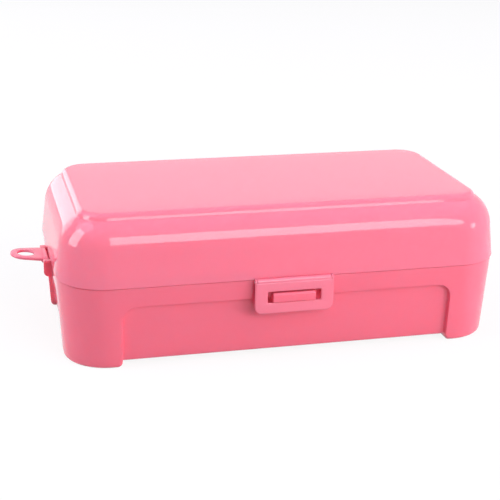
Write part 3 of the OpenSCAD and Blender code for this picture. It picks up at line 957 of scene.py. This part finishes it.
class BOBBINBOX_OT_latch(bpy.types.Operator):
    """Makes the latch plate with its slot and barrel, the lid's small ears and the catch"""

    bl_idname = "bobbinbox.latch"
    bl_label = "Front Latch"

    def execute(self, context):
        shell = context.scene.bobbin_shell
        parts = context.scene.bobbin_fittings
        half = (LATCH_HIGH.x - LATCH_LOW.x) / 2
        thickness = parts.latch_thickness
        low, top = LATCH_LOW.z, LATCH_AXIS.z - parts.latch_drop
        axis = LATCH_AXIS
        shoulder_half = half - parts.latch_ear - parts.latch_side_gap
        outline = rounded(
            [(-half, low), (half, low), (half, top), (-half, top)],
            [parts.latch_corner] * 2 + [parts.barrel_edge] * 2, steps=8, closed=True,
        )
        slot = rounded(
            [
                (-parts.slot_half, parts.slot_bottom), (-parts.slot_half, parts.slot_top),
                (parts.slot_half, parts.slot_top), (parts.slot_half, parts.slot_bottom),
            ],
            [parts.slot_corner] * 4, closed=True,
        )
        depth = thickness + parts.latch_proud
        upright = Matrix.Translation((axis.x, axis.y - depth / 2, 0)) @ Matrix.Rotation(
            math.pi / 2, 4, "X"
        )
        leaf = plate([outline, slot], depth, parts.latch_edge, upright)
        for side in (-1, 1):
            room = turned(
                axis + Vector((side * half, 0, 0)), 0, thickness + 0.05 * MM,
                half - shoulder_half, 0.0,
            )
            leaf = hollowed(leaf, room)
        barrel = turned(
            axis, 0, thickness, shoulder_half, parts.barrel_edge, bore=parts.latch_pin,
        )
        finish_mesh(
            merged(leaf, barrel), "latch_plate", "trim_pink", "latch",
            replaced="front_latch",
        )

        root = MIDDLE.y - shell.box_depth / 2 + shell.rim_wall / 2
        block = [
            (axis.y, shell.seam_height), (root, shell.seam_height),
            (root, LATCH_HIGH.z), (axis.y, LATCH_HIGH.z),
        ]
        ear_place = half - parts.latch_ear / 2
        ears = [
            lug(
                block, (axis.x + side * ear_place, axis.y, axis.z), parts.latch_ear,
                thickness, 0.2 * MM, parts.latch_pin,
            )
            for side in (-1, 1)
        ]
        finish_mesh(merged(*ears), "latch_ears", "lid_pink", "lid")

        face = BASE_FRONT
        top = parts.catch_bottom + parts.catch_height
        back = MIDDLE.y - shell.box_depth / 2 + 3.5 * MM
        tongue = rounded(
            [
                (face, parts.catch_bottom), (back, parts.catch_bottom), (back, top),
                (face + parts.catch_chamfer, top), (face, top - parts.catch_chamfer),
            ],
            [parts.fine_edge, 0, 0, parts.fine_edge, parts.fine_edge], steps=3, closed=True,
        )
        catch = bar(tongue, axis.x - parts.catch_half, axis.x + parts.catch_half, ALONG_X)
        piece = finish_mesh(catch, "latch_catch", "base_pink", "base")
        soften(piece, parts.fine_edge, 2)
        dress("latch_pin", "pin_steel")
        return {"FINISHED"}


class BOBBINBOX_OT_hang_tab(bpy.types.Operator):
    """Makes the folding hang tab and the cheeks that carry it"""

    bl_idname = "bobbinbox.hang_tab"
    bl_label = "Hang Tab"

    def execute(self, context):
        shell = context.scene.bobbin_shell
        parts = context.scene.bobbin_fittings
        # The tab is drawn level about its own axis and then tilted
        ring = Vector((-parts.ring_distance, 0))
        corner = Vector((-parts.tab_neck, parts.tab_half))
        # Where the neck's slanted edge touches the ring
        reach = corner - ring
        lean = math.atan2(reach.y, reach.x) + math.acos(parts.ring_radius / reach.length)
        outline = [(0, -parts.tab_half), (0, parts.tab_half), corner]
        outline += arc(ring, parts.ring_radius, lean, 2 * math.pi - lean, ROUND_STEPS)
        outline.append((corner.x, -parts.tab_half))
        hole = arc(ring, parts.ring_hole, 0, -2 * math.pi, ROUND_STEPS)[:-1]
        leaf = plate(
            [outline, hole], parts.tab_thickness, parts.tab_edge,
            Matrix.Translation((0, 0, parts.tab_barrel - parts.tab_thickness / 2)),
        )
        barrel = turned(
            (0, 0, 0), 1, parts.tab_barrel, parts.tab_half, parts.barrel_edge,
            bore=parts.tab_pin,
        )
        tab = merged(leaf, barrel)
        tab.transform(Matrix.Translation(TAB_AXIS) @ Matrix.Rotation(parts.tab_tilt, 4, "Y"))
        finish_mesh(tab, "hang_loop", "trim_pink", "tab", replaced="hang_tab")

        axis = TAB_AXIS
        top = axis.z + parts.tab_barrel
        out = axis.x - parts.tab_barrel - parts.cheek_margin
        root = MIDDLE.x - shell.box_length / 2 + 1.5 * MM
        low = top - parts.cheek_height
        outline = rounded(
            [(root, top), (out, top), (out, low), (root, low)],
            [0, 0.4 * MM, parts.cheek_corner, 0], steps=8, closed=True,
        )
        for side, name in ((-1, "front"), (1, "rear")):
            inner = axis.y + side * (parts.tab_half + parts.side_gap)
            outer = inner + side * parts.cheek_width
            brink = outer + side * parts.flange_reach
            flange = [
                (out, top - parts.flange_thickness), (root, top - parts.flange_thickness),
                (root, top), (out, top),
            ]
            cheek = merged(
                bar(outline, *sorted((inner, outer)), ALONG_Y),
                bar(flange, *sorted((outer, brink)), ALONG_Y),
            )
            piece = finish_mesh(cheek, f"tab_cheek_{name}", "base_pink", "base")
            soften(piece, parts.fine_edge)
        dress("hang_tab_pin", "pin_steel")
        return {"FINISHED"}


class BOBBINBOX_OT_tray(bpy.types.Operator):
    """Finishes the lift-out bobbin tray"""

    bl_idname = "bobbinbox.tray"
    bl_label = "Bobbin Tray"

    def execute(self, context):
        dress("bobbin_tray", "tray_white")
        return {"FINISHED"}


# ---------------- stage


SENSOR_MM = 36.0
FLOOR_HALF = 4.0  # Metres from the middle of the floor to its edge
CARD_GLOW = 0.88  # Share of the card's look that is its own white, to background rays
WHITE, COOL = "#FFFFFF", "#E8E2FF"
MIDDLE_OF_BOX = (0, 0, 0.05)

# Soft boxes: name, place, target, width and height in metres, brightness, colour, and
# whether the gloss mirrors it: a fill that it doesn't mirror leaves no white patch there
SOFT_BOXES = (
    ("Overhead", (0, -0.1, 1.25), (0, -0.1, 0), 2.2, 2.0, 0.8, COOL, True),
    ("Front", (0.31, -1.0, 0.71), (0.31, 0, 0.71), 0.62, 0.64, 5.2, WHITE, True),
    ("Left", (-1.05, 0, 0.5), MIDDLE_OF_BOX, 0.5, 0.9, 5.6, WHITE, True),
    ("Left, rear", (-0.55, 1.0, 0.32), MIDDLE_OF_BOX, 0.8, 0.6, 1.6, WHITE, True),
    ("Left, high", (-0.75, 0.1, 1.0), MIDDLE_OF_BOX, 0.7, 0.7, 2.0, COOL, True),
    ("Right, spot", (0.85, -0.62, 0.14), MIDDLE_OF_BOX, 0.24, 0.24, 5.0, WHITE, True),
    ("Rear, low", (0.35, 1.1, 0.42), (0.35, 0, 0.42), 1.0, 0.7, 0.17, WHITE, True),
    ("Right", (1.0, -0.62, 0.3), MIDDLE_OF_BOX, 1.0, 0.8, 2.6, WHITE, False),
    ("Right, near", (0.5, -0.5, 0.2), (0.08, -0.05, 0.04), 0.35, 0.3, 3.9, WHITE, False),
    ("Right, high", (0.6, -0.5, 1.1), MIDDLE_OF_BOX, 0.8, 0.6, 0.8, COOL, False),
    ("Right, side", (1.1, 0.2, 0.4), MIDDLE_OF_BOX, 0.9, 0.7, 1.1, WHITE, False),
    ("Rear, high", (0.1, 0.9, 0.9), MIDDLE_OF_BOX, 1.2, 0.6, 1.4, COOL, False),
)


def soft_box(name, place, target, width, height, brightness, colour, in_gloss):
    """A rectangular soft box that faces a target; a brightness of 1 reads as white."""
    lamp = bpy.data.lights.new(name, "AREA")
    lamp.shape = "RECTANGLE"
    lamp.size = width
    lamp.size_y = height
    lamp.energy = math.pi * width * height * brightness
    lamp.color = linear(colour)[:3]
    aim = Vector(target) - Vector(place)
    holder = add_object(name, lamp)
    holder.location = place
    holder.rotation_euler = aim.to_track_quat("-Z", "Y").to_euler()
    holder.visible_glossy = in_gloss


def background_rays(tree):
    """1 for rays that show the background: to the camera, mirrored or through glass."""
    rays = add_node(tree, "ShaderNodeLightPath")
    shown = rays.outputs["Is Camera Ray"]
    for kind in ("Is Glossy Ray", "Is Transmission Ray"):
        either = add_node(
            tree, "ShaderNodeMath", {0: shown, 1: rays.outputs[kind]}, operation="MAXIMUM",
        )
        shown = either.outputs[0]
    return shown


class BOBBINBOX_OT_stage(bpy.types.Operator):
    """Makes the pale floor, the soft studio light and the camera"""

    bl_idname = "bobbinbox.stage"
    bl_label = "Stage"

    def execute(self, context):
        scene = context.scene
        colours = scene.bobbin_colours
        scene.view_settings.view_transform = "Standard"

        # White card: a pale matt floor that the eye reads as pure white
        card = bpy.data.materials.new("White card")
        tree = new_tree(card)
        shown = background_rays(tree)
        # What the card throws back on the box is held down, so that undercuts keep their depth
        tone = add_node(
            tree, "ShaderNodeMix", {0: shown},
            {6: linear(colours.floor_bounce), 7: linear(colours.floor)}, data_type="RGBA",
        )
        matt = add_node(
            tree, "ShaderNodeBsdfDiffuse", {"Color": tone.outputs[2]}, {"Roughness": 0.5},
        )
        glow = add_node(tree, "ShaderNodeEmission", sockets={"Strength": 1.0})
        share = add_node(
            tree, "ShaderNodeMath", {0: shown}, {1: CARD_GLOW}, operation="MULTIPLY",
        )
        mixed = add_node(tree, "ShaderNodeMixShader", {
            0: share.outputs[0], 1: matt.outputs["BSDF"], 2: glow.outputs["Emission"],
        })
        add_node(tree, "ShaderNodeOutputMaterial", {"Surface": mixed.outputs["Shader"]})
        mesh = bmesh.new()
        bmesh.ops.create_grid(mesh, x_segments=4, y_segments=4, size=FLOOR_HALF)
        floor = add_object("floor", mesh_data(mesh, "floor"))
        floor.location.z = -0.02 * MM  # Just below the feet, so that the faces don't fight
        floor.data.materials.append(card)

        # A white studio that the camera and the gloss see, and that gives no light of its own
        scene.world = bpy.data.worlds.new("Studio")
        tree = new_tree(scene.world)
        sky = add_node(
            tree, "ShaderNodeBackground", {"Strength": background_rays(tree)},
            {"Color": (1, 1, 1, 1)},
        )
        add_node(tree, "ShaderNodeOutputWorld", {"Surface": sky.outputs["Background"]})

        for lamp in SOFT_BOXES:
            soft_box(*lamp)

        view = scene.bobbin_camera
        lens = bpy.data.cameras.new("Camera")
        lens.lens = view.lens
        lens.sensor_width = SENSOR_MM
        camera = add_object("Camera", lens)
        camera.matrix_world = (
            Matrix.Translation(MIDDLE + Vector(view.place))
            @ Matrix.Rotation(-view.turn, 4, "Z")
            @ Matrix.Rotation(math.pi / 2 - view.tilt, 4, "X")
            @ Matrix.Rotation(view.roll, 4, "Z")
        )
        scene.camera = camera
        return {"FINISHED"}


# ---------------- add-on


OPERATORS = (
    BOBBINBOX_OT_stage,
    BOBBINBOX_OT_base,
    BOBBINBOX_OT_lid,
    BOBBINBOX_OT_hinges,
    BOBBINBOX_OT_latch,
    BOBBINBOX_OT_hang_tab,
    BOBBINBOX_OT_tray,
)
GROUPS = {
    "bobbin_shell": BobbinBoxShellSizes,
    "bobbin_base": BobbinBoxBaseSizes,
    "bobbin_lid": BobbinBoxLidSizes,
    "bobbin_fittings": BobbinBoxFittingSizes,
    "bobbin_colours": BobbinBoxColours,
    "bobbin_camera": BobbinBoxCamera,
}


class BOBBINBOX_PT_panel(bpy.types.Panel):
    """Lists the pieces of the bobbin box"""

    bl_label = "Bobbin Box"
    bl_space_type = "VIEW_3D"
    bl_region_type = "UI"
    bl_category = "Bobbin Box"

    def draw(self, context):
        for operator in OPERATORS:
            self.layout.operator(operator.bl_idname)
        for name, group in GROUPS.items():
            box = self.layout.box()
            for key in group.__annotations__:
                box.prop(getattr(context.scene, name), key)


def register():
    for group in GROUPS.values():
        bpy.utils.register_class(group)
    for name, group in GROUPS.items():
        setattr(bpy.types.Scene, name, PointerProperty(type=group))
    for operator in OPERATORS:
        bpy.utils.register_class(operator)
    bpy.utils.register_class(BOBBINBOX_PT_panel)


def unregister():
    bpy.utils.unregister_class(BOBBINBOX_PT_panel)
    for operator in reversed(OPERATORS):
        bpy.utils.unregister_class(operator)
    for name in reversed(GROUPS):
        delattr(bpy.types.Scene, name)
    for group in reversed(GROUPS.values()):
        bpy.utils.unregister_class(group)


def main():
    register()
    bpy.ops.bobbinbox.stage()
    bpy.ops.bobbinbox.base()
    bpy.ops.bobbinbox.lid()
    bpy.ops.bobbinbox.hinges()
    bpy.ops.bobbinbox.latch()
    bpy.ops.bobbinbox.hang_tab()
    bpy.ops.bobbinbox.tray()


if __name__ == "__main__":
    main()
